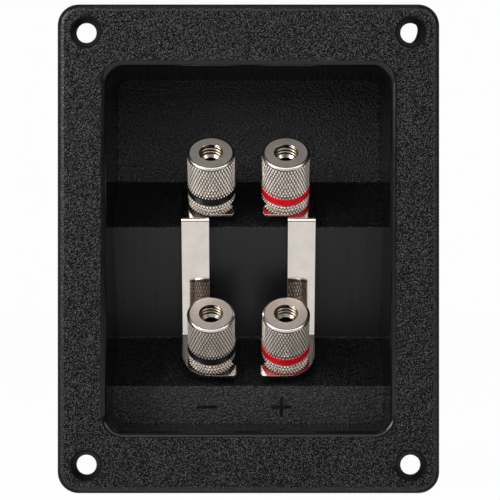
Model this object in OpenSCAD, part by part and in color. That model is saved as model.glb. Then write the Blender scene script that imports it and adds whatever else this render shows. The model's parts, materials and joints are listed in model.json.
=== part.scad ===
// Loudspeaker terminal cup: a moulded flange with a stepped recess, four knurled binding posts
// in two rows, and a folded jumper bar that links the two rows on each side.
// The part stands upright. X runs across, Z runs up, and the room is on the -Y side.
// The origin is the middle of the screw pattern, on the rear face of the flange.

/* [Flange] */
// Width of the flange
flange_w = 95.4; // [92:0.1:110]
// Height of the flange
flange_h = 122.2; // [118:0.1:140]
// Thickness of the flange
flange_t = 3; // [2.5:0.25:5]
// Corner radius of the flange outline
flange_corner_r = 5.3; // [3:0.1:8]
// Rounding of the front rim of the flange
flange_rim_r = 2; // [0.5:0.1:2.2]
// Distance from the side edges of the flange to the screw holes
screw_edge_x = 7.2; // [6.5:0.1:9]
// Distance from the top and bottom edges of the flange to the screw holes
screw_edge_z = 7.1; // [6.5:0.1:9]
// Diameter of the screw holes
screw_hole_d = 5; // [3:0.1:6]
// Diameter of the countersinks on the front face
screw_sink_d = 7.5; // [6.2:0.1:9]
// Depth of the countersinks
screw_sink_depth = 2; // [1.2:0.1:2.2]
// Rounding of the mouths of the countersinks
screw_sink_r = 0.6; // [0.1:0.05:1]

/* [Recess] */
// Width of the recess at the front face
recess_w = 71; // [64:0.5:74]
// Height of the recess at the front face
recess_h = 91.2; // [88:0.1:96]
// Depth of the rear wall behind the front face
recess_depth = 29; // [26:0.5:36]
// Corner radius of the recess at the front face
recess_corner_r = 4.3; // [3:0.1:8]
// Slope of the side walls, in degrees
recess_draft = 2.75; // [1:0.25:4]
// Rounding of the lip of the recess
lip_r = 1.6; // [0.4:0.05:1.9]
// Wall thickness of the moulding
wall = 2.5; // [1.5:0.1:3.5]

/* [Ledges] */
// Angle of the binding posts above the horizontal
post_tilt = 45; // [40:1:50]
// Length of each ledge along its slope
ledge_l = 16.9; // [15.5:0.1:19]
// Height of the rear edge of the upper ledge above the middle of the part
upper_ledge_z = 17.5; // [14:0.1:20]
// Distance between the two ledges, up and down
ledge_pitch = 40.8; // [38:0.1:44]
// Rounding of the front edges of the ledges
ledge_edge_r = 0.5; // [0.1:0.05:1.5]
// Fillet in the inner corners behind the ledges
ledge_fillet_r = 0.6; // [0.1:0.05:2]

/* [Binding posts] */
// Distance between the posts of a row
post_pitch = 19.05; // [17.5:0.05:24]
// Diameter of the threaded end of a stud
thread_d = 5.9; // [5.9:0.1:6.5]
// Height of a stud above its ledge
stud_h = 15.3; // [13:0.1:16.5]
// Diameter of the collar that seats on the ledge
collar_d = 10; // [8.5:0.1:11]
// Thickness of the collar
collar_t = 2.6; // [1.5:0.1:3.5]
// Diameter of the plug socket in a stud
socket_d = 4.1; // [3.8:0.05:4.15]
// Depth of the plug socket
socket_depth = 8.2; // [6:0.1:9]
// Diameter of the wire hole across a stud
wire_hole_d = 2.6; // [1.5:0.1:2.8]
// Height of the wire hole above the jumper bar
wire_hole_h = 1.9; // [1.6:0.1:2]
// Diameter of the rear shank of a stud
shank_d = 5; // [4:0.1:5.4]
// Width of the shank across its two flats
shank_flats = 4.2; // [3.5:0.1:4.4]
// Length of the shank behind its nut
shank_tail = 2; // [1:0.1:4]
// Chamfer of the collar and of the outer edge at the open end of a stud
stud_chamfer = 0.25; // [0.1:0.05:0.25]
// Chamfer of the mouth of the plug socket
socket_chamfer = 0.6; // [0.1:0.05:0.6]

/* [Knobs] */
// Diameter of a knob
knob_d = 12.3; // [11.6:0.1:14]
// Length of a knob
knob_l = 14.75; // [14:0.05:18]
// Chamfer round the foot of a knob
knob_chamfer = 0.55; // [0.2:0.05:0.8]
// Rounding of the open end of a knob
knob_rim_r = 0.75; // [0.2:0.05:1]
// Distance from the end of a knob to its coloured ring
ring_from_end = 10.7; // [8:0.1:11.2]
// Width of the coloured ring
ring_w = 2.3; // [1.5:0.1:2.6]
// Outer diameter of the coloured ring
ring_d = 12.4; // [11.8:0.1:14.4]
// Depth of the groove that holds the ring
groove_depth = 1.1; // [0.6:0.1:1.8]
// Rounding of the edges of the ring
ring_edge_r = 0.35; // [0.1:0.05:0.6]

/* [Jumper bars] */
// Thickness of the sheet
jumper_t = 0.8; // [0.5:0.05:1.2]
// Width of the strip between the tabs
strip_w = 7.1; // [5:0.1:9]
// Distance from the post to the near edge of the strip
strip_offset = 0.55; // [0:0.05:1.5]
// Reach of the upper tab past the post, towards the middle
upper_tab_reach = 5.9; // [5:0.1:6.8]
// Reach of the lower tab past the post, towards the middle
lower_tab_reach = 6.4; // [5:0.1:6.8]
// Distance from the post to the open front edge of the upper tab
upper_tab_front = 7.3; // [6:0.1:7.8]
// Distance from the post to the bend in front of the upper tab
upper_bend = 9; // [8.4:0.1:10.5]
// Distance from the post to the front edge of the lower tab
lower_tab_front = 8; // [6:0.1:8.5]
// Distance from the post to the open rear edge of the lower tab
lower_tab_back = 5.55; // [5.3:0.05:5.8]
// Distance from the post to the bend behind the lower tab
lower_bend = 6.95; // [6.2:0.05:7.4]
// Distance from the post to the rear edge of the upper tab
tab_back = 6; // [4.8:0.1:6.1]
// Radius of the outer corner of the upper tab
upper_corner_r = 5.4; // [2:0.1:5.8]
// Radius of the outer corner of the lower tab
lower_corner_r = 7.6; // [2:0.1:8]
// Radius of the small corners of the tabs
tab_tip_r = 0.9; // [0.2:0.05:1]
// Flare of the mouth of the slots
slot_flare = 1.3; // [0.2:0.05:1.5]
// Inner radius of the bends
bend_r = 0.6; // [0.3:0.05:1.5]

/* [Rear hardware] */
// Thickness of a solder tag
tag_t = 0.8; // [0.4:0.05:1]
// Outer diameter of the eye of a solder tag
tag_eye_d = 9.5; // [8.5:0.1:11]
// Width of the tail of a solder tag
tag_tail_w = 4.8; // [3:0.1:6.3]
// Length of the tail behind its bend
tag_tail_l = 9; // [6:0.5:14]
// Diameter of the wire hole in the tail
tag_hole_d = 1.6; // [1:0.1:2]
// Outer diameter of a lock washer
washer_d = 9; // [8:0.1:10.5]
// Thickness of a lock washer
washer_t = 1.2; // [0.6:0.1:1.6]
// Width of the split in a lock washer
washer_split = 1.2; // [0.4:0.1:2]
// Width of a nut across its flats
nut_af = 8; // [7.5:0.1:9]
// Thickness of a nut
nut_t = 3.5; // [2.5:0.1:5]
// Slope of the chamfered corners of a nut, in degrees
nut_slope = 30; // [15:5:45]

/* [Clearances] */
// Radial clearance of a knob on its stud
knob_gap = 0.1; // [0.05:0.01:0.15]
// Gap between a knob and the jumper bar under it
seat_gap = 0.05; // [0.02:0.01:0.1]
// Gap round the coloured ring in its groove
ring_gap = 0.05; // [0.02:0.01:0.1]
// Radial clearance of the jumper slots round the studs
slot_gap = 0.25; // [0.1:0.05:0.4]
// Radial clearance of the rear pieces on the shank
shank_gap = 0.1; // [0.05:0.05:0.2]

/* [Hidden] */
$fn = 64;

// Posts: name, side and row
posts = [
    ["upper_left", -1, 0],
    ["upper_right", 1, 0],
    ["lower_left", -1, 1],
    ["lower_right", 1, 1]
];

// Overshoot of a cut past the face that it opens
cut = 1;
// Number of steps in the arcs of an outline
arc_steps = 8;
cup_black = "#1c1c1e";
nickel = "#cfc8c0";
ring_black = "#161618";
ring_red = "#c21024";

// Distances between the screw holes
screw_pitch_x = flange_w - 2 * screw_edge_x;
screw_pitch_z = flange_h - 2 * screw_edge_z;

// Ledges in the section of the cup: [height, distance in front of the rear face of the flange]
ledge_drop = ledge_l * cos(post_tilt);
ledge_rise = ledge_l * sin(post_tilt);
rear_wall_y = flange_t - recess_depth;
ledge_front_y = rear_wall_y + ledge_rise;
function ledge_back_z(row) = upper_ledge_z - row * ledge_pitch;
function post_foot(row) = [ledge_back_z(row) - ledge_drop / 2, rear_wall_y + ledge_rise / 2];

// Step from an upper post to the lower one: [across the post, along the post]
row_step = -ledge_pitch * [cos(post_tilt), sin(post_tilt)];

// Heights above the ledge, along the post
tab_top = collar_t + jumper_t;
knob_foot = tab_top + seat_gap;
wire_hole_z = tab_top + wire_hole_h;
shank_l = wall + tag_t + washer_t + nut_t + shank_tail;

// Draft of the recess
draft_rate = tan(recess_draft);

// Length rounded to a thousandth, so that the sides and corners of a sweep meet without a step
function fine(length) = round(length * 1000) / 1000;

// Point where the line through a1 and a2 meets the line through b1 and b2
function meet(a1, a2, b1, b2) =
    let (u = a2 - a1, v = b2 - b1, s = cross(b1 - a1, v) / cross(u, v)) a1 + s * u;

// Unit vector to the right of the way from a to b
function right_of(a, b) = let (d = b - a) [d[1], -d[0]] / norm(d);

// Open path moved by a distance to its right
function moved_path(p, dist) =
    let (last = len(p) - 1, side = [for (i = [0:last - 1]) right_of(p[i], p[i + 1]) * dist])
    [for (i = [0:last])
        i == 0 ? p[0] + side[0]
        : i == last ? p[last] + side[last - 1]
        : meet(p[i - 1] + side[i - 1], p[i] + side[i - 1], p[i] + side[i], p[i + 1] + side[i])];

// Arc that rounds the corner b between a and c
function corner_arc(a, b, c, r) =
    let (u = (a - b) / norm(a - b), v = (c - b) / norm(c - b), half = acos(u * v) / 2,
        bisector = (u + v) / norm(u + v), middle = b + bisector * r / sin(half),
        start = b + u * r / tan(half) - middle, turn = cross(u, v) > 0 ? -1 : 1, sweep = 180 - 2 * half)
    [for (i = [0:arc_steps]) let (w = turn * sweep * i / arc_steps)
        middle + [start[0] * cos(w) - start[1] * sin(w), start[0] * sin(w) + start[1] * cos(w)]];

// Path with a radius at each point, where a radius of 0 keeps the corner
function rounded(p, radii) =
    [for (i = [0:len(p) - 1]) each
        radii[i] == 0 ? [p[i]]
        : corner_arc(p[(i + len(p) - 1) % len(p)], p[i], p[(i + 1) % len(p)], radii[i])];

// Section of the recess floor, from the top down
recess_path = [
    [flange_h / 2, rear_wall_y],
    [ledge_back_z(0), rear_wall_y],
    [ledge_back_z(0) - ledge_drop, ledge_front_y],
    [ledge_back_z(1), rear_wall_y],
    [ledge_back_z(1) - ledge_drop, ledge_front_y],
    [-flange_h / 2, ledge_front_y]
];
recess_radii = [0, ledge_fillet_r, ledge_edge_r, ledge_fillet_r, ledge_edge_r, 0, 0, 0];
shell_path = moved_path(recess_path, -wall);
shell_radii = [0, ledge_fillet_r + wall, 0, ledge_fillet_r + wall, 0, 0, 0, 0];

// Turns a piece drawn lying on its back, front face up, to its upright place
module stand_up() rotate([90, 0, 0]) children();

// Extrudes an outline of [height, distance to the front] across the part
module across(width) rotate([90, 0, 90]) linear_extrude(height = width, center = true) children();

// Extrudes an outline of [width, distance to the front] up and down the part
module along(height) rotate([90, 0, 0]) linear_extrude(height = height, center = true) children();

// Places a piece on a post, with its Z along the post and the ledge at 0
module on_post(side, row)
    stand_up()
        translate([side * post_pitch / 2, post_foot(row)[0], post_foot(row)[1]])
            rotate([-post_tilt, 0, 0])
                children();

// Repeats a piece at the four corners of a rectangle
module at_corners(w, h)
    for (sx = [-1, 1], sz = [-1, 1])
        translate([sx * w / 2, sz * h / 2, 0])
            children();

// Mirrors a half section about its middle
module both_sides() {
    children();
    mirror([1, 0]) children();
}

// Sweeps a half section round a rectangle with rounded corners. The section reads $reach,
// its distance from the middle of the rectangle, or from the centre of a corner, to the outline.
module rounded_sweep(w, h, r) {
    at_corners(w - 2 * r, h - 2 * r) rotate_extrude() let ($reach = r) children();
    along(h - 2 * r) let ($reach = w / 2) both_sides() children();
    across(w - 2 * r) let ($reach = h / 2) both_sides() children();
}

// Half section of a drafted block that is full size at its front face, at 0
module draft_section(deep)
    polygon([
        [0, -deep],
        [$reach - fine(deep * draft_rate), -deep],
        [$reach + fine(cut * draft_rate), cut],
        [0, cut]
    ]);

// Half section of the flange with its rounded rim
module rim_section() {
    square([$reach, flange_t - flange_rim_r]);
    square([$reach - flange_rim_r, flange_t]);
    translate([$reach - flange_rim_r, flange_t - flange_rim_r])
        intersection() {
            circle(r = flange_rim_r);
            square(flange_rim_r);
        }
}

// Half section of the recess: its drafted wall and the round lip that opens onto the front face
module recess_section() {
    deep = recess_depth + cut;
    throat = $reach - fine(lip_r * draft_rate);
    polygon(concat(
        [[0, -deep], [$reach - fine(deep * draft_rate), -deep]],
        [for (i = [0:arc_steps]) let (a = 90 * i / arc_steps)
            [throat + fine(lip_r * (1 - cos(a))), lip_r * (sin(a) - 1)]],
        [[throat + lip_r, cut], [0, cut]]
    ));
}

module flange_plate() rounded_sweep(flange_w, flange_h, flange_corner_r) rim_section();

module recess_cut()
    intersection() {
        translate([0, 0, flange_t])
            rounded_sweep(recess_w, recess_h, recess_corner_r) recess_section();
        across(flange_w)
            polygon(concat(
                rounded(recess_path, recess_radii),
                [[-flange_h / 2, flange_t + cut], [flange_h / 2, flange_t + cut]]
            ));
    }

// Outer skin of the tub behind the flange, which follows the steps of the recess
module tub()
    intersection() {
        translate([0, 0, flange_t])
            rounded_sweep(recess_w + 2 * wall, recess_h + 2 * wall, recess_corner_r + wall)
                draft_section(recess_depth + wall + cut);
        across(flange_w)
            polygon(concat(
                rounded(shell_path, shell_radii),
                [[-flange_h / 2, flange_t / 2], [flange_h / 2, flange_t / 2]]
            ));
    }

// Screw hole with a countersink that runs into the front face through a rounded mouth
module screw_cut() {
    throat = [screw_hole_d / 2, flange_t - screw_sink_depth];
    mouth = [screw_sink_d / 2, flange_t];
    lip = corner_arc(throat, mouth, mouth + [screw_sink_r, 0], screw_sink_r);
    rotate_extrude()
        polygon(concat(
            [[0, -cut], [throat[0], -cut], throat],
            lip,
            [[lip[arc_steps][0], flange_t + cut], [0, flange_t + cut]]
        ));
}

// Round bar with two flats
module flatted_bar(d, flats, l)
    intersection() {
        cylinder(h = l, d = d);
        translate([-flats / 2, -d, 0]) cube([flats, 2 * d, l]);
    }

module shank_cut()
    translate([0, 0, -wall - cut])
        flatted_bar(shank_d + 2 * shank_gap, shank_flats + 2 * shank_gap, wall + 2 * cut);

module cup_housing()
    color(cup_black)
        difference() {
            stand_up()
                difference() {
                    union() {
                        flange_plate();
                        tub();
                    }
                    recess_cut();
                    at_corners(screw_pitch_x, screw_pitch_z) screw_cut();
                }
            for (p = posts) on_post(p[1], p[2]) shank_cut();
        }

// Turned stud with a collar, a plug socket, a wire hole and a flatted rear shank
module stud() {
    socket_z = stud_h - socket_depth;
    color(nickel)
        difference() {
            union() {
                rotate_extrude()
                    polygon([
                        [0, 0],
                        [collar_d / 2 - stud_chamfer, 0],
                        [collar_d / 2, stud_chamfer],
                        [collar_d / 2, collar_t - stud_chamfer],
                        [collar_d / 2 - stud_chamfer, collar_t],
                        [thread_d / 2, collar_t],
                        [thread_d / 2, stud_h - stud_chamfer],
                        [thread_d / 2 - stud_chamfer, stud_h],
                        [0, stud_h]
                    ]);
                translate([0, 0, -shank_l]) flatted_bar(shank_d, shank_flats, shank_l + stud_chamfer);
            }
            translate([0, 0, socket_z]) cylinder(h = socket_depth + cut, d = socket_d);
            translate([0, 0, stud_h - socket_chamfer])
                cylinder(h = socket_chamfer + cut, d1 = socket_d, d2 = socket_d + 2 * (socket_chamfer + cut));
            translate([0, 0, wire_hole_z]) rotate([0, 90, 0])
                cylinder(h = thread_d + 2 * cut, d = wire_hole_d, center = true);
        }
}

// Knob as a turned profile with a groove for the ring and a threaded bore
module knob() {
    bore_r = thread_d / 2 + knob_gap;
    r = knob_d / 2;
    groove_top = knob_l - ring_from_end;
    groove_foot = groove_top - ring_w - 2 * ring_gap;
    groove_r = ring_d / 2 - groove_depth - ring_gap;
    color(nickel)
        translate([0, 0, knob_foot])
            rotate_extrude()
                polygon(rounded([
                    [bore_r, 0],
                    [r - knob_chamfer, 0],
                    [r, knob_chamfer],
                    [r, groove_foot],
                    [groove_r, groove_foot],
                    [groove_r, groove_top],
                    [r, groove_top],
                    [r, knob_l],
                    [bore_r, knob_l]
                ], [0, 0, 0, 0, 0, 0, 0, knob_rim_r, 0]));
}

// Coloured band that sits in the groove of a knob
module ring(shade) {
    foot = knob_foot + knob_l - ring_from_end - ring_gap - ring_w;
    inner_r = ring_d / 2 - groove_depth;
    color(shade)
        translate([0, 0, foot])
            rotate_extrude()
                polygon(rounded(
                    [[inner_r, 0], [ring_d / 2, 0], [ring_d / 2, ring_w], [inner_r, ring_w]],
                    [0, ring_edge_r, ring_edge_r, 0]
                ));
}

// Slot that lets a tab slide onto its stud from the middle of the part, with a flared mouth
module slot_cut(reach) {
    slot_r = thread_d / 2 + slot_gap;
    circle(r = slot_r);
    polygon([
        [0, -slot_r],
        [slot_flare - reach, -slot_r],
        [-reach - cut, -slot_r - slot_flare - cut],
        [-reach - cut, slot_r + slot_flare + cut],
        [slot_flare - reach, slot_r],
        [0, slot_r]
    ]);
}

// Flat outline of a jumper bar as seen along the posts, with a slot at each post
module jumper_outline() {
    outer = strip_offset + strip_w;
    difference() {
        polygon(rounded([
            [outer, tab_back],
            [-upper_tab_reach, tab_back],
            [-upper_tab_reach, -upper_tab_front],
            [strip_offset, -upper_tab_front],
            [strip_offset, row_step[0] + lower_tab_back],
            [-lower_tab_reach, row_step[0] + lower_tab_back],
            [-lower_tab_reach, row_step[0] - lower_tab_front],
            [outer, row_step[0] - lower_tab_front]
        ], [upper_corner_r, tab_tip_r, tab_tip_r, 0, 0, tab_tip_r, tab_tip_r, lower_corner_r]));
        slot_cut(upper_tab_reach);
        translate([0, row_step[0]]) slot_cut(lower_tab_reach);
    }
}

// Sheet folded from one tab to the other and trimmed to its outline, on the right-hand side
module jumper() {
    width = post_pitch + strip_w;
    wide_r = bend_r + jumper_t;
    middle = collar_t + jumper_t / 2;
    fold = [
        [tab_back + cut, middle],
        [-upper_bend, middle],
        row_step + [lower_bend, middle],
        row_step + [-lower_tab_front - cut, middle]
    ];
    near_side = moved_path(fold, -jumper_t / 2);
    far_side = moved_path(fold, jumper_t / 2);
    on_post(1, 0)
        intersection() {
            rotate([90, 0, 90])
                linear_extrude(height = 2 * width, center = true)
                    polygon(rounded(
                        concat(near_side, [for (i = [3:-1:0]) far_side[i]]),
                        [0, bend_r, wide_r, 0, 0, bend_r, wide_r, 0]
                    ));
            translate([0, 0, row_step[1]])
                linear_extrude(height = tab_top + cut - row_step[1])
                    jumper_outline();
        }
}

module left_jumper() color(nickel) mirror([1, 0, 0]) jumper();

module right_jumper() color(nickel) jumper();

// Eye against the rear of the ledge, with a tail bent to point straight back
module solder_tag() {
    bend_at = tag_eye_d / 2 + tag_t;
    hole_at = tag_tail_l - tag_tail_w / 2;
    color(nickel)
        translate([0, 0, -wall - tag_t])
            difference() {
                union() {
                    cylinder(h = tag_t, d = tag_eye_d);
                    translate([-tag_tail_w / 2, 0, 0]) cube([tag_tail_w, bend_at, tag_t]);
                    translate([0, bend_at, tag_t]) rotate([post_tilt - 90, 0, 0])
                        translate([0, 0, -tag_t])
                            linear_extrude(height = tag_t) {
                                translate([-tag_tail_w / 2, 0]) square([tag_tail_w, hole_at]);
                                translate([0, hole_at]) circle(d = tag_tail_w);
                            }
                }
                translate([0, 0, -cut]) cylinder(h = tag_t + 2 * cut, d = shank_d + 2 * shank_gap);
                translate([0, bend_at, tag_t]) rotate([post_tilt - 90, 0, 0])
                    translate([0, hole_at, -tag_t - cut]) cylinder(h = tag_t + 2 * cut, d = tag_hole_d);
            }
}

// Split spring washers, one on each shank
module lock_washers()
    color(nickel)
        for (p = posts)
            on_post(p[1], p[2])
                translate([0, 0, -wall - tag_t - washer_t])
                    difference() {
                        cylinder(h = washer_t, d = washer_d);
                        translate([0, 0, -cut])
                            cylinder(h = washer_t + 2 * cut, d = shank_d + 2 * shank_gap);
                        translate([0, -washer_split / 2, -cut])
                            cube([washer_d, washer_split, washer_t + 2 * cut]);
                    }

// Hexagon nuts with chamfered corners, one on each shank
module rear_nuts() {
    corner_d = nut_af / cos(30);
    bevel = (corner_d - nut_af) / 2;
    color(nickel)
        for (p = posts)
            on_post(p[1], p[2])
                translate([0, 0, -wall - tag_t - washer_t - nut_t])
                    difference() {
                        intersection() {
                            cylinder(h = nut_t, d = corner_d, $fn = 6);
                            rotate_extrude()
                                polygon([
                                    [0, 0],
                                    [nut_af / 2, 0],
                                    [corner_d / 2, bevel * tan(nut_slope)],
                                    [corner_d / 2, nut_t - bevel * tan(nut_slope)],
                                    [nut_af / 2, nut_t],
                                    [0, nut_t]
                                ]);
                        }
                        translate([0, 0, -cut])
                            cylinder(h = nut_t + 2 * cut, d = shank_d + 2 * shank_gap);
                    }
}

cup_housing();
for (p = posts) {
    on_post(p[1], p[2]) stud();
    on_post(p[1], p[2]) knob();
    on_post(p[1], p[2]) ring(p[1] < 0 ? ring_black : ring_red);
    on_post(p[1], p[2]) solder_tag();
}
left_jumper();
right_jumper();
lock_washers();
rear_nuts();
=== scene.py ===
import bpy
import bmesh
import json
from math import atan2, cos, hypot, pi, radians, sin
from mathutils import Matrix, Vector


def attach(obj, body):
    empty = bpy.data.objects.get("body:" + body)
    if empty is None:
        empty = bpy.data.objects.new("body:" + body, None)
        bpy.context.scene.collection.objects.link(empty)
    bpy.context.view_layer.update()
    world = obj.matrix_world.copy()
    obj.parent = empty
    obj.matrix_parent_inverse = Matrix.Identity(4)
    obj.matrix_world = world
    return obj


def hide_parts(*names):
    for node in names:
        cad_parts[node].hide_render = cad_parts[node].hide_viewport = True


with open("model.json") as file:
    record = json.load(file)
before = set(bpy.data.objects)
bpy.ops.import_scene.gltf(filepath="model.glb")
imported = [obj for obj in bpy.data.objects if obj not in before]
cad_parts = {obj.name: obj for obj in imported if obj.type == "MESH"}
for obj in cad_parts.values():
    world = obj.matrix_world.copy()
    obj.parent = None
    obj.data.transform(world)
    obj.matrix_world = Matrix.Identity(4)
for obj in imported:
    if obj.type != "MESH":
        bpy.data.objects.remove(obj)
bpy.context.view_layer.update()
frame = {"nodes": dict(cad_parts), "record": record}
nodes = frame["nodes"]
mounts = {mount["name"]: mount for mount in frame["record"]["mounts"]}
screwX = mounts["flange_screws"]["dims"]["spacing_x_mm"] / 2
screwZ = mounts["flange_screws"]["dims"]["spacing_y_mm"] / 2
mm = 0.001
touch = 0.01    # mm, counts as lying on a surface
near = 0.1      # mm, counts as close to one
print("frame loaded:", len(nodes), "nodes")


# finishes

def newFinish(name, **sockets):
    finish = bpy.data.materials.new(name)
    finish.use_nodes = True
    tree = finish.node_tree
    shader = tree.nodes["Principled BSDF"]
    for socket, value in sockets.items():
        shader.inputs[socket.replace("_", " ")].default_value = value
    place = tree.nodes.new("ShaderNodeTexCoord")
    return finish, tree, shader, place.outputs["Object"]


def addNoise(tree, place, scale, detail=3.0, roughness=0.55, stretch=(1, 1, 1)):
    mapping = tree.nodes.new("ShaderNodeMapping")
    mapping.inputs["Scale"].default_value = stretch
    noise = tree.nodes.new("ShaderNodeTexNoise")
    noise.inputs["Scale"].default_value = scale
    noise.inputs["Detail"].default_value = detail
    noise.inputs["Roughness"].default_value = roughness
    tree.links.new(place, mapping.inputs["Vector"])
    tree.links.new(mapping.outputs["Vector"], noise.inputs["Vector"])
    return noise.outputs["Fac"]


def addRamp(tree, value, stops):
    ramp = tree.nodes.new("ShaderNodeValToRGB")
    points = ramp.color_ramp.elements
    while len(points) < len(stops):
        points.new(0.5)
    for point, (at, shade) in zip(points, stops):
        point.position = at
        point.color = (*shade, 1) if hasattr(shade, "__len__") else (shade, shade, shade, 1)
    tree.links.new(value, ramp.inputs["Fac"])
    return ramp.outputs["Color"]


def rampTo(tree, value, stops, socket):
    tree.links.new(addRamp(tree, value, stops), socket)


def addBump(tree, shader, height, strength, distance):
    bump = tree.nodes.new("ShaderNodeBump")
    bump.inputs["Strength"].default_value = strength
    bump.inputs["Distance"].default_value = distance
    tree.links.new(height, bump.inputs["Height"])
    tree.links.new(bump.outputs["Normal"], shader.inputs["Normal"])


# moulded grain: bumps on a dark ground, with pale specks in the colour as painted highlights of the grain's
# sparkle, and patches of dull and shiny
grainLook = {"paintedGlint": 1.8, "paintedGlintStops": (0.42, 0.52, 0.64), "coolTint": 1.08, "patch": 0.5}


def grainedPlastic(name, tones, rough, shine, grain, depth):
    finish, tree, shader, place = newFinish(name, Specular_IOR_Level=shine)
    paintedGlint = addNoise(tree, place, grainLook["paintedGlint"] * grain, 1.0, 0.5)
    shades = [(tone, tone, grainLook["coolTint"] * tone) for tone in tones]
    # the pale specks are painted highlights standing in for the sparkle of the grain
    rampTo(tree, paintedGlint, list(zip(grainLook["paintedGlintStops"], shades)), shader.inputs["Base Color"])
    patch = addNoise(tree, place, grainLook["patch"] * grain, 3)
    rampTo(tree, patch, [(0.3, rough[0]), (0.7, rough[1])], shader.inputs["Roughness"])
    addBump(tree, shader, addNoise(tree, place, grain, 1.5, 0.5), 1.0, depth)
    return finish


def smoothPlastic(name, rough, shine, drag):
    finish, tree, shader, place = newFinish(name, Specular_IOR_Level=shine)
    tone = addNoise(tree, place, 60, 2)
    blacks = [(0.3, (0.003, 0.003, 0.004)), (0.7, (0.006, 0.006, 0.007))]
    rampTo(tree, tone, blacks, shader.inputs["Base Color"])
    lines = addNoise(tree, place, 40, 3, 0.6, drag)
    rampTo(tree, lines, [(0.3, rough[0]), (0.7, rough[1])], shader.inputs["Roughness"])
    addBump(tree, shader, lines, 0.5, 0.00002)
    return finish


def ringPlastic(name, deep, light):
    finish, tree, shader, place = newFinish(name, Specular_IOR_Level=0.15)
    tone = addNoise(tree, place, 500, 2)
    rampTo(tree, tone, [(0.3, deep), (0.7, light)], shader.inputs["Base Color"])
    haze = addNoise(tree, place, 900, 3)
    rampTo(tree, haze, [(0.3, 0.38), (0.7, 0.5)], shader.inputs["Roughness"])
    addBump(tree, shader, haze, 0.3, 0.00002)
    return finish


def roughenMetal(tree, shader, place, rough, ripple, stretch=(1, 1, 1)):
    haze = addNoise(tree, place, 420, 4, 0.65, stretch)
    rampTo(tree, haze, [(0.3, rough[0]), (0.75, rough[1])], shader.inputs["Roughness"])
    scale, strength, depth = ripple
    addBump(tree, shader, addNoise(tree, place, scale, 2), strength, depth)


def platedMetal(name, dull, bright, rough, ripple, stretch=(1, 1, 1), metal=1.0):
    finish, tree, shader, place = newFinish(name, Metallic=metal)
    tone = addNoise(tree, place, 260, 3)
    rampTo(tree, tone, [(0.25, dull), (0.65, bright)], shader.inputs["Base Color"])
    roughenMetal(tree, shader, place, rough, ripple, stretch)
    return finish


def knurledMetal(name, grooveShade, crest, rough, ripple):
    finish, tree, shader, place = newFinish(name, Metallic=0.52)
    paintedLightMask = tree.nodes.new("ShaderNodeAttribute")
    paintedLightMask.attribute_name = "crest"    # 1 on the teeth, 0 between them
    # the ramp paints the grooves near black as painted shade and the teeth paler than the other plating as
    # painted highlight
    rampTo(tree, paintedLightMask.outputs["Fac"], [(0.26, grooveShade), (0.6, crest)], shader.inputs["Base Color"])
    roughenMetal(tree, shader, place, rough, ripple)
    return finish


flangeGrain = grainedPlastic("flangeGrain", (0.001, 0.004, 0.064), (0.20, 0.36), 0.08, 1900, 0.0005)
rimGrain = grainedPlastic("rimGrain", (0.002, 0.005, 0.035), (0.26, 0.34), 0.30, 1900, 0.0002)
edgeMatte = grainedPlastic("edgeMatte", (0.003, 0.004, 0.007), (0.40, 0.50), 0.06, 1900, 0.00008)
# the recess and ledge copies have a darker ground and dimmer specks than the flange, as painted shade inside
# the recess
recessGrainShaded = grainedPlastic("recessGrainShaded", (0.0005, 0.0011, 0.039), (0.30, 0.42), 0.18, 1900, 0.0004)
ledgeGrainShaded = grainedPlastic("ledgeGrainShaded", (0.0004, 0.0009, 0.020), (0.34, 0.46), 0.12, 1900, 0.0003)
footGrain = grainedPlastic("footGrain", (0.002, 0.006, 0.045), (0.36, 0.50), 0.24, 2000, 0.0003)
rearMatte = grainedPlastic("rearMatte", (0.010, 0.016, 0.026), (0.46, 0.58), 0.28, 1500, 0.00006)
wallGloss = smoothPlastic("wallGloss", (0.12, 0.18), 0.4, (12, 1, 12))
lipGloss = smoothPlastic("lipGloss", (0.14, 0.21), 0.3, (12, 1, 12))
riserDrag = smoothPlastic("riserDrag", (0.30, 0.42), 0.3, (26, 1, 1))

turnedRipple = (900, 0.25, 0.00002)    # scale, strength and depth
facedRipple = (1200, 0.2, 0.00001)
sheetRipple = (140, 0.2, 0.00003)
tagRipple = (700, 0.4, 0.00003)
zincRipple = (800, 0.4, 0.00003)
nickelTurned = platedMetal("nickelTurned", (0.58, 0.52, 0.475), (0.70, 0.64, 0.595), (0.20, 0.28),
                           turnedRipple)
# knurl colours: near-black grooves are painted shade, the pale teeth a painted highlight
nickelKnurled = knurledMetal("nickelKnurled", (0.05, 0.042, 0.034), (1.0, 0.915, 0.825), (0.15, 0.23),
                             turnedRipple)
nickelFaced = platedMetal("nickelFaced", (0.75, 0.665, 0.59), (0.83, 0.745, 0.67), (0.34, 0.42), facedRipple,
                          metal=0.86)
nickelSheet = platedMetal("nickelSheet", (0.60, 0.55, 0.51), (0.68, 0.625, 0.585), (0.05, 0.10), sheetRipple,
                          stretch=(1, 1, 6))
# dim brown metal for the stud's socket, painted shade inside the socket
socketPaintedShade = platedMetal("socketPaintedShade", (0.07, 0.055, 0.04), (0.12, 0.095, 0.07), (0.30, 0.42), turnedRipple)
# dim brown metal for the knob's threaded bore, painted shade inside the bore
boreBrownShade = platedMetal("boreBrownShade", (0.15, 0.115, 0.085), (0.25, 0.20, 0.155), (0.24, 0.36), turnedRipple)
tinTag = platedMetal("tinTag", (0.62, 0.61, 0.58), (0.76, 0.75, 0.72), (0.26, 0.4), tagRipple)
zincSteel = platedMetal("zincSteel", (0.50, 0.51, 0.53), (0.66, 0.66, 0.68), (0.24, 0.38), zincRipple)
redRing = ringPlastic("redRing", (0.58, 0.002, 0.010), (0.68, 0.004, 0.015))
blackRing = ringPlastic("blackRing", (0.004, 0.004, 0.005), (0.007, 0.007, 0.008))
print("finishes ready")


# making and copying pieces

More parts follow.
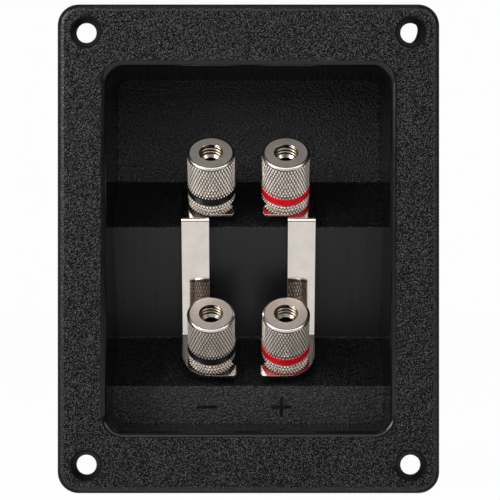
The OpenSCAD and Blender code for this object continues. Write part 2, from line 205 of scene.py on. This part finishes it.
def makePiece(bm, name, body, finishes, crease=28):
    mesh = bpy.data.meshes.new(name)
    for face in bm.faces:
        face.smooth = True
    bm.to_mesh(mesh)
    bm.free()
    mesh.set_sharp_from_angle(angle=radians(crease))
    for finish in finishes:
        mesh.materials.append(finish)
    piece = bpy.data.objects.new(name, mesh)
    bpy.context.scene.collection.objects.link(piece)
    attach(piece, body)
    return piece


def copyNode(node):
    mesh = nodes[node].data.copy()
    mesh.attributes.remove(mesh.attributes["custom_normal"])
    bm = bmesh.new()
    bm.from_mesh(mesh)
    bpy.data.meshes.remove(mesh)
    bmesh.ops.remove_doubles(bm, verts=bm.verts, dist=0.000002)
    return bm


def paintAreas(bm, finishes, areaOf):
    areas = list(finishes)
    for face in bm.faces:
        face.material_index = areas.index(areaOf(face))


def cutAcross(bm, place, way):
    bmesh.ops.bisect_plane(bm, geom=bm.verts[:] + bm.edges[:] + bm.faces[:], dist=1e-5, plane_co=place,
                           plane_no=way)


def steadyShading(piece):
    weigh = piece.modifiers.new("steadyShading", "WEIGHTED_NORMAL")
    weigh.mode = "FACE_AREA"
    weigh.weight = 100
    weigh.keep_sharp = True


# the moulded cup, with a finish for each of its areas
cup = {"front": -0.5, "lipX": 36.9, "lipZ": 47.0, "footTop": -33, "holeReach": 4.6, "tubX": 40, "tubZ": 50,
       "wallBack": 26.5, "crease": 24}
cupFinishes = {"rear": rearMatte, "flange": flangeGrain, "recess": recessGrainShaded, "wall": wallGloss,
               "riser": riserDrag, "rim": rimGrain, "edge": edgeMatte, "lip": lipGloss, "foot": footGrain,
               "ledge": ledgeGrainShaded}


def cupArea(face):
    at = face.calc_center_median() / mm
    out = face.normal
    if at.y < cup["front"] and out.y < -0.05:
        if abs(at.x) < cup["lipX"] and abs(at.z) < cup["lipZ"]:
            return "lip"
        if out.y < -0.995:
            return "flange"
        atHole = hypot(abs(at.x) - screwX, abs(at.z) - screwZ) < cup["holeReach"]
        return "rim" if out.y < -0.8 and not atHole else "edge"
    if out.y < -0.97:
        return "recess" if at.z > cup["footTop"] else "foot"
    if out.y < -0.5 and abs(out.x) < 0.3:
        return "riser" if out.z < 0 else "ledge"
    if abs(at.x) > cup["tubX"] or abs(at.z) > cup["tubZ"]:
        return "edge" if at.y < -touch else "rear"
    inward = out.x * at.x < -0.01 or out.z * at.z < -0.01
    return "wall" if inward and out.y < 0.02 and at.y < cup["wallBack"] else "rear"


bm = copyNode("cup_housing")
paintAreas(bm, cupFinishes, cupArea)
cupShell = makePiece(bm, "cupShell", "cup", cupFinishes.values(), cup["crease"])
steadyShading(cupShell)
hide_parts("cup_housing")
print("cup shell ready")


# polarity marks on the lowest face
mark = {"length": 5.1, "stroke": 0.85, "height": 0.16, "round": 0.12, "face": 14.05, "z": -40.6,
        "minusX": -10.75, "plusX": 8.45}


def makeMark(name, x, crossed):
    bm = bmesh.new()
    bmesh.ops.create_cube(bm, size=1)
    bmesh.ops.scale(bm, verts=bm.verts, vec=(mark["length"], 2 * mark["height"], mark["stroke"]))
    if crossed:
        for side in (-1, 1):
            cutAcross(bm, (side * mark["stroke"] / 2, 0, 0), (1, 0, 0))
        arms = [f for f in bm.faces if abs(f.normal.z) > 0.9 and abs(f.calc_center_median().x) < near]
        armLength = (mark["length"] - mark["stroke"]) / 2
        for f in bmesh.ops.extrude_discrete_faces(bm, faces=arms)["faces"]:
            way = 1 if f.calc_center_median().z > 0 else -1
            bmesh.ops.translate(bm, verts=f.verts, vec=(0, 0, way * armLength))
    bmesh.ops.bevel(bm, geom=bm.edges[:], offset=mark["round"], affect="EDGES", segments=2, profile=0.5,
                    material=-1)
    bmesh.ops.translate(bm, verts=bm.verts, vec=(x, mark["face"], mark["z"]))
    bmesh.ops.scale(bm, verts=bm.verts, vec=(mm, mm, mm))
    makePiece(bm, name, "cup", [edgeMatte])


makeMark("minusMark", mark["minusX"], False)
makeMark("plusMark", mark["plusX"], True)
print("marks ready")


# thin moulding flash left in the top right screw hole
flash = {"radius": 2.52, "sliver": 0.04, "start": -88, "end": 55, "reach": 0.85, "steps": 24, "back": -0.65,
         "thick": 0.3}


def makeFlash():
    bm = bmesh.new()
    start = radians(flash["start"])
    sweep = radians(flash["end"] - flash["start"])
    outer = bm.verts.new((flash["radius"], flash["back"], 0))
    inner = bm.verts.new((flash["radius"] - flash["sliver"], flash["back"], 0))
    rail = bm.edges.new((outer, inner))
    bmesh.ops.rotate(bm, verts=[outer, inner], cent=(0, 0, 0), matrix=Matrix.Rotation(-start, 3, "Y"))
    bmesh.ops.spin(bm, geom=[outer, inner, rail], cent=(0, 0, 0), axis=(0, -1, 0), angle=sweep,
                   steps=flash["steps"])
    bmesh.ops.remove_doubles(bm, verts=bm.verts, dist=0.0005)
    for v in bm.verts:
        if hypot(v.co.x, v.co.z) < flash["radius"] - flash["sliver"] / 2:
            along = (atan2(v.co.z, v.co.x) - start) / sweep
            shrink = 1 - flash["reach"] * sin(pi * along) / flash["radius"]    # widest halfway
            v.co.x *= shrink
            v.co.z *= shrink
    bmesh.ops.recalc_face_normals(bm, faces=bm.faces)
    bmesh.ops.solidify(bm, geom=bm.faces[:], thickness=flash["thick"])
    bmesh.ops.recalc_face_normals(bm, faces=bm.faces)
    bmesh.ops.translate(bm, verts=bm.verts, vec=(screwX, 0, screwZ))
    bmesh.ops.scale(bm, verts=bm.verts, vec=(mm, mm, mm))
    makePiece(bm, "screwHoleFlash", "cup", [edgeMatte])


makeFlash()
print("flash ready")


# places along each post, with Z up the post from the ledge
socketHeight = 11
postPlaces = {}
for name, mount in mounts.items():
    if name.endswith("_socket"):
        up = Vector(mount["axis"]).normalized()
        foot = Vector(mount["pos_m"]) - up * socketHeight * mm
        across = Vector((1, 0, 0))
        turn = Matrix((across, up.cross(across), up)).transposed().to_4x4()
        postPlaces[name.removesuffix("_socket")] = Matrix.Translation(foot) @ turn @ Matrix.Scale(mm, 4)


# screw threads, right-handed coils whose roots are sunk in the wall
thread = {"pitch": 1.0, "root": 0.3, "tip": 0.05, "sunk": 0.1, "stepsPerTurn": 40}


def threadCoil(bm, wall, crest, foot, top, phase):
    start = foot + (phase - foot) % thread["pitch"]
    steps = int((top - start) / thread["pitch"] * thread["stepsPerTurn"])
    turns = steps / thread["stepsPerTurn"]
    root, tip = thread["root"], thread["tip"]
    section = [(wall, -root), (crest, -tip), (crest, tip), (wall, root)]
    before = set(bm.verts)
    dots = [bm.verts.new((r, 0, start + h)) for r, h in section]
    edges = [bm.edges.new(pair) for pair in zip(dots, dots[1:] + dots[:1])]
    bmesh.ops.spin(bm, geom=dots + edges, cent=(0, 0, 0), axis=(0, 0, 1), angle=2 * pi * turns, steps=steps,
                   dvec=(0, 0, thread["pitch"] / thread["stepsPerTurn"]))
    ends = [e for e in bm.edges if e.is_boundary and e.verts[0] not in before]
    bmesh.ops.holes_fill(bm, edges=ends, sides=4)
    bmesh.ops.recalc_face_normals(bm, faces=[f for f in bm.faces if f.verts[0] not in before])
    return [v for v in bm.verts if v not in before]


# knurled knobs
knob = {"radius": 6.15, "foot": 3.45, "top": 18.2, "chamfer": 0.25, "rim": 0.75, "rimSteps": 5, "land": 0.06,
        "bore": 3.05, "sink": 0.04, "grooveFoot": 5.1, "grooveTop": 7.5, "grooveRadius": 5.05,
        "teeth": 45, "toothDepth": 0.36, "toothRound": 0.34, "upperRows": 10, "lowerRows": 2,
        "threadCrest": 2.83, "threadFoot": 7.7, "threadTop": 17.7, "threadPhase": 0.5, "crease": 35}
knobFinishes = {"turned": nickelTurned, "knurled": nickelKnurled, "face": nickelFaced, "bore": boreBrownShade}


def knobOutline():
    radius, foot, top, rim = (knob[size] for size in ("radius", "foot", "top", "rim"))
    chamfer, groove, bore, sink = (knob[size] for size in ("chamfer", "grooveRadius", "bore", "sink"))
    outline = [(bore, foot), (radius - chamfer, foot), (radius, foot + chamfer), (radius, knob["grooveFoot"]),
               (groove, knob["grooveFoot"]), (groove, knob["grooveTop"]), (radius, knob["grooveTop"])]
    for step in range(knob["rimSteps"] + 1):
        lean = pi / 2 * step / knob["rimSteps"]
        outline.append((radius - rim * (1 - cos(lean)), top - rim * (1 - sin(lean))))
    return outline + [(radius - rim - knob["land"], top), (bore + sink, top), (bore, top - sink)]


def lathe(bm, outline, steps, split):
    dots = [bm.verts.new((r, 0, h)) for r, h in outline]
    edges = [bm.edges.new(pair) for pair in zip(dots, dots[1:] + dots[:1])]
    for index, cuts in split.items():
        bmesh.ops.subdivide_edges(bm, edges=[edges[index]], cuts=cuts)
    bmesh.ops.spin(bm, geom=bm.verts[:] + bm.edges[:], cent=(0, 0, 0), axis=(0, 0, 1), angle=2 * pi,
                   steps=steps, use_merge=True)
    bmesh.ops.remove_doubles(bm, verts=bm.verts, dist=0.0005)
    bmesh.ops.recalc_face_normals(bm, faces=bm.faces)


def inValley(v, foot, step):
    column = round(atan2(v.co.y, v.co.x) / pi * knob["teeth"])
    row = round((v.co.z - foot) / step)
    return (column + row) % 2 == 1


def knurlBand(bm, foot, top, rows):
    step = (top - foot) / rows
    band = [v for v in bm.verts if foot - touch < v.co.z < top + touch
            and hypot(v.co.x, v.co.y) > knob["radius"] - touch]
    valleys = [v for v in band if inValley(v, foot, step)]
    teeth = [v for v in band if not inValley(v, foot, step)]
    crests = [v for v in teeth if foot + step / 2 < v.co.z < top - step / 2]
    shrink = 1 - knob["toothDepth"] / knob["radius"]
    bmesh.ops.scale(bm, verts=valleys, vec=(shrink, shrink, 1))
    bmesh.ops.connect_verts(bm, verts=valleys)
    bmesh.ops.bevel(bm, geom=crests, offset=knob["toothRound"], affect="VERTICES", segments=3, profile=0.5,
                    material=-1)
    return valleys


def knobArea(face):
    at = face.calc_center_median()
    reach = hypot(at.x, at.y)
    if reach < knob["bore"] + touch:
        return "bore"
    if at.z > knob["top"] - touch:
        return "face"
    return "turned" if at.z > knob["top"] - knob["rim"] or reach < knob["grooveRadius"] + near else "knurled"


def makeKnob(post):
    bm = bmesh.new()
    crest = bm.verts.layers.float.new("crest")
    lathe(bm, knobOutline(), 2 * knob["teeth"], {2: knob["lowerRows"] - 1, 6: knob["upperRows"] - 1})
    valleys = knurlBand(bm, knob["foot"] + knob["chamfer"], knob["grooveFoot"], knob["lowerRows"])
    valleys += knurlBand(bm, knob["grooveTop"], knob["top"] - knob["rim"], knob["upperRows"])
    threadCoil(bm, knob["bore"] + thread["sunk"], knob["threadCrest"], knob["threadFoot"], knob["threadTop"],
               knob["threadPhase"])
    for v in bm.verts:
        v[crest] = 1
    for v in valleys:
        v[crest] = 0
    paintAreas(bm, knobFinishes, knobArea)
    bmesh.ops.transform(bm, matrix=postPlaces[post], verts=bm.verts)
    piece = makePiece(bm, post + "_knurledKnob", post + "_knob", knobFinishes.values(),
                      knob["crease"])
    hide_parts(post + "_knob")


# studs, turned down to the core of the thread before the coils go on
stud = {"core": 2.45, "crest": 2.95, "threadFoot": 7.2, "threadTop": 14.6, "neck": 6.85, "taper": 0.25,
        "end": 2.75, "socket": 2.1, "socketFoot": 0, "tailCore": 2.3, "tailCrest": 2.6, "tailFoot": -9.7,
        "tailTop": -8.3, "tailFlat": 2.12, "crease": 24}
studFinishes = {"turned": nickelTurned, "socket": socketPaintedShade}


def studArea(face):
    at = face.calc_center_median()
    return "socket" if hypot(at.x, at.y) < stud["socket"] and at.z > stud["socketFoot"] else "turned"


def turnDown(bm):
    for height in (stud["neck"], stud["threadTop"]):
        cutAcross(bm, (0, 0, height), (0, 0, 1))
        cutAcross(bm, (0, 0, height + stud["taper"]), (0, 0, 1))
    for v in bm.verts:
        reach = hypot(v.co.x, v.co.y)
        core = stud["core"] if v.co.z < stud["threadTop"] + near else stud["end"]
        if v.co.z > stud["neck"] + near and reach > core:
            v.co.x *= core / reach
            v.co.y *= core / reach


def makeStud(post):
    bm = copyNode(post + "_stud")
    bmesh.ops.transform(bm, matrix=postPlaces[post].inverted(), verts=bm.verts)
    turnDown(bm)
    paintAreas(bm, studFinishes, studArea)
    threadCoil(bm, stud["core"] - thread["sunk"], stud["crest"], stud["threadFoot"], stud["threadTop"], 0)
    tail = threadCoil(bm, stud["tailCore"], stud["tailCrest"], stud["tailFoot"], stud["tailTop"], 0)
    for v in tail:
        v.co.x = max(-stud["tailFlat"], min(stud["tailFlat"], v.co.x))    # the shank has two flats
    bmesh.ops.transform(bm, matrix=postPlaces[post], verts=bm.verts)
    piece = makePiece(bm, post + "_threadedStud", "cup", studFinishes.values(),
                      stud["crease"])
    steadyShading(piece)
    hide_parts(post + "_stud")


for post in postPlaces:
    makeKnob(post)
    makeStud(post)
    nodes[post + "_ring"].material_slots[0].material = blackRing if post.endswith("left") else redRing
    nodes[post + "_solder_tag"].material_slots[0].material = tinTag
for node in ("lock_washers", "rear_nuts"):
    nodes[node].material_slots[0].material = zincSteel
print("posts ready")


# jumper bars with softened sheet edges
jumper = {"edge": 0.1, "flat": 0.5, "corner": 50, "crease": 30}


def makeJumper(side):
    bm = copyNode(side + "_jumper")
    bmesh.ops.dissolve_limit(bm, angle_limit=radians(jumper["flat"]), verts=bm.verts, edges=bm.edges)
    shared = [e for e in bm.edges if len(e.link_faces) == 2]
    sharp = [e for e in shared if e.calc_face_angle() > radians(jumper["corner"])]
    bmesh.ops.bevel(bm, geom=sharp, offset=jumper["edge"] * mm, affect="EDGES", segments=2, profile=0.5,
                    material=-1)
    piece = makePiece(bm, side + "_foldedBar", "cup", [nickelSheet], jumper["crease"])
    steadyShading(piece)
    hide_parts(side + "_jumper")


for side in ("left", "right"):
    makeJumper(side)
print("jumper bars ready")


# studio: white floor, a room that is dark ahead and bright behind, lamps and camera
studio = {"floor": -61.1, "half": 1500, "paper": 0.8, "glow": 0.97, "dim": -240, "bright": -165,
          "ahead": 0.02, "around": 0.4, "behind": 0.7, "white": 0.985, "aim": (0, 10, 0)}
lamps = {"keyLamp": {"place": (-370, -340, 210), "size": (240, 240), "power": 1.9},
         "sideLamp": {"place": (380, -340, 210), "size": (200, 200), "power": 0.35},
         "topPanel": {"place": (0, -620, 350), "size": (1200, 400), "power": 2.9}}
camera = {"place": (0.386, -553, -0.30), "lens": 158.94, "sensor": 36, "nearest": 10}


def feed(tree, value, socket):
    if isinstance(value, bpy.types.NodeSocket):
        tree.links.new(value, socket)
    elif socket.type == "RGBA":
        socket.default_value = (value, value, value, 1)
    else:
        socket.default_value = value


def addMath(tree, operation, first, second):
    step = tree.nodes.new("ShaderNodeMath")
    step.operation = operation
    feed(tree, first, step.inputs[0])
    feed(tree, second, step.inputs[1])
    return step.outputs[0]


def addMix(tree, share, under, over, blend="MIX"):
    mix = tree.nodes.new("ShaderNodeMixRGB")
    mix.blend_type = blend
    feed(tree, share, mix.inputs["Fac"])
    feed(tree, under, mix.inputs["Color1"])
    feed(tree, over, mix.inputs["Color2"])
    return mix.outputs["Color"]


def addSpan(tree, value, low, high):
    span = tree.nodes.new("ShaderNodeMapRange")
    span.inputs["From Min"].default_value = low
    span.inputs["From Max"].default_value = high
    tree.links.new(value, span.inputs["Value"])
    return span.outputs["Result"]


def splitAxes(tree, place):
    axes = tree.nodes.new("ShaderNodeSeparateXYZ")
    tree.links.new(place, axes.inputs["Vector"])
    return axes.outputs


def makeFloor():
    bm = bmesh.new()
    bmesh.ops.create_grid(bm, x_segments=1, y_segments=1, size=studio["half"] * mm)
    bmesh.ops.translate(bm, verts=bm.verts, vec=(0, 0, studio["floor"] * mm))
    mesh = bpy.data.meshes.new("floor")
    bm.to_mesh(mesh)
    bm.free()
    floor = bpy.data.objects.new("floor", mesh)
    bpy.context.scene.collection.objects.link(floor)
    return floor


def seenRays(tree, place):
    path = tree.nodes.new("ShaderNodeLightPath").outputs
    depth = splitAxes(tree, place)["Y"]
    # the paper far in front stays dim in the metal
    lit = addSpan(tree, depth, studio["dim"] * mm, studio["bright"] * mm)
    gloss = addMath(tree, "MULTIPLY", path["Is Glossy Ray"], lit)
    seen = addMath(tree, "MAXIMUM", path["Is Camera Ray"], gloss)
    return addMath(tree, "MAXIMUM", seen, path["Is Transmission Ray"])


def paintFloor(floor):
    pale = (studio["paper"], studio["paper"], studio["paper"], 1)
    paper, tree, shader, place = newFinish("floorPaper", Base_Color=pale, Roughness=0.9, Specular_IOR_Level=0)
    white = tree.nodes.new("ShaderNodeEmission")
    mix = tree.nodes.new("ShaderNodeMixShader")
    tree.links.new(addMath(tree, "MULTIPLY", seenRays(tree, place), studio["glow"]), mix.inputs["Fac"])
    tree.links.new(shader.outputs["BSDF"], mix.inputs[1])
    tree.links.new(white.outputs["Emission"], mix.inputs[2])
    tree.links.new(mix.outputs["Shader"], tree.nodes["Material Output"].inputs["Surface"])
    floor.data.materials.append(paper)


def lightRoom():
    room = bpy.data.worlds.new("room")
    room.use_nodes = True
    bpy.context.scene.world = room
    tree = room.node_tree
    axes = splitAxes(tree, tree.nodes.new("ShaderNodeTexCoord").outputs["Generated"])
    facing = addMath(tree, "MULTIPLY", axes["Y"], -1)
    front = addRamp(tree, facing, [(0.78, studio["around"]), (0.95, studio["ahead"])])
    sides = addRamp(tree, addSpan(tree, axes["X"], -1, 1), [(0.25, 1), (0.75, 0.2)])    # paler on the left
    back = addRamp(tree, axes["Y"], [(0.02, 0), (0.3, 1)])
    path = tree.nodes.new("ShaderNodeLightPath").outputs
    seen = addMath(tree, "MAXIMUM", path["Is Camera Ray"], path["Is Transmission Ray"])
    shade = addMix(tree, 1, front, sides, "MULTIPLY")
    shade = addMix(tree, back, shade, studio["behind"])
    shade = addMix(tree, seen, shade, studio["white"])
    tree.links.new(shade, tree.nodes["Background"].inputs["Color"])


def addLamp(name, place, size, power):
    lamp = bpy.data.lights.new(name, "AREA")
    lamp.shape = "RECTANGLE"
    lamp.size = size[0] * mm
    lamp.size_y = size[1] * mm
    lamp.energy = power
    stand = bpy.data.objects.new(name, lamp)
    stand.location = Vector(place) * mm
    stand.rotation_euler = (Vector(studio["aim"]) - Vector(place)).to_track_quat("-Z", "Y").to_euler()
    bpy.context.scene.collection.objects.link(stand)


def addCamera():
    eye = bpy.data.cameras.new("camera")
    eye.lens = camera["lens"]
    eye.sensor_width = camera["sensor"]
    eye.clip_start = camera["nearest"] * mm
    stand = bpy.data.objects.new("camera", eye)
    stand.location = Vector(camera["place"]) * mm
    stand.rotation_euler = (pi / 2, 0, 0)
    bpy.context.scene.collection.objects.link(stand)
    bpy.context.scene.camera = stand


paintFloor(makeFloor())
lightRoom()
for name, lamp in lamps.items():
    addLamp(name, **lamp)
addCamera()
bpy.context.scene.view_settings.view_transform = "Standard"
print("studio ready")
